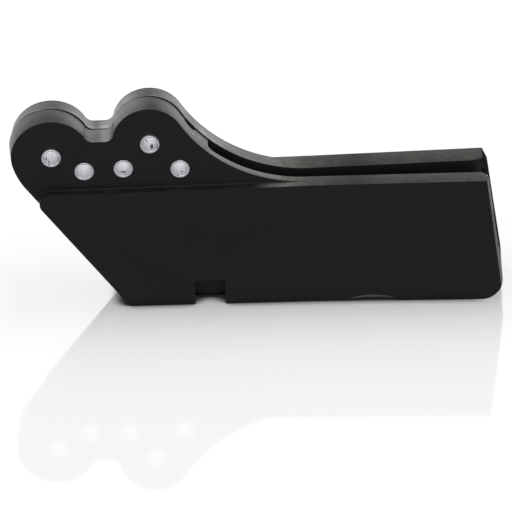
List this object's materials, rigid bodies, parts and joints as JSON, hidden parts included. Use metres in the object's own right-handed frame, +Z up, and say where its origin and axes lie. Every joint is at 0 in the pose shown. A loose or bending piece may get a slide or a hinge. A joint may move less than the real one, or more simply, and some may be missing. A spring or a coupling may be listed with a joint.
{
  "type": "motorcycle chain guide",
  "caption": "Two-piece moulded chain guide for a motorcycle swingarm, with a slotted chain channel and metal-sleeved mounting holes.",
  "frame": {"origin": "centre of the bounding box at the floor that the guide stands on", "axes": "+X along the chain channel towards the sprocket end, +Y from the outer half to the inner half, +Z up"},
  "size_m": [0.2056, 0.0306, 0.0908],
  "materials": {
    "moulded_plastic": "semi-gloss moulded, dull where cut",
    "sleeve_metal": "turned, lightly scratched"
  },
  "bodies": {
    "root": {"front_half": "moulded_plastic", "rear_half": "moulded_plastic", "sleeve_1": "sleeve_metal", "sleeve_2": "sleeve_metal", "sleeve_3": "sleeve_metal", "sleeve_4": "sleeve_metal", "sleeve_5": "sleeve_metal"}
  },
  "joints": []
}
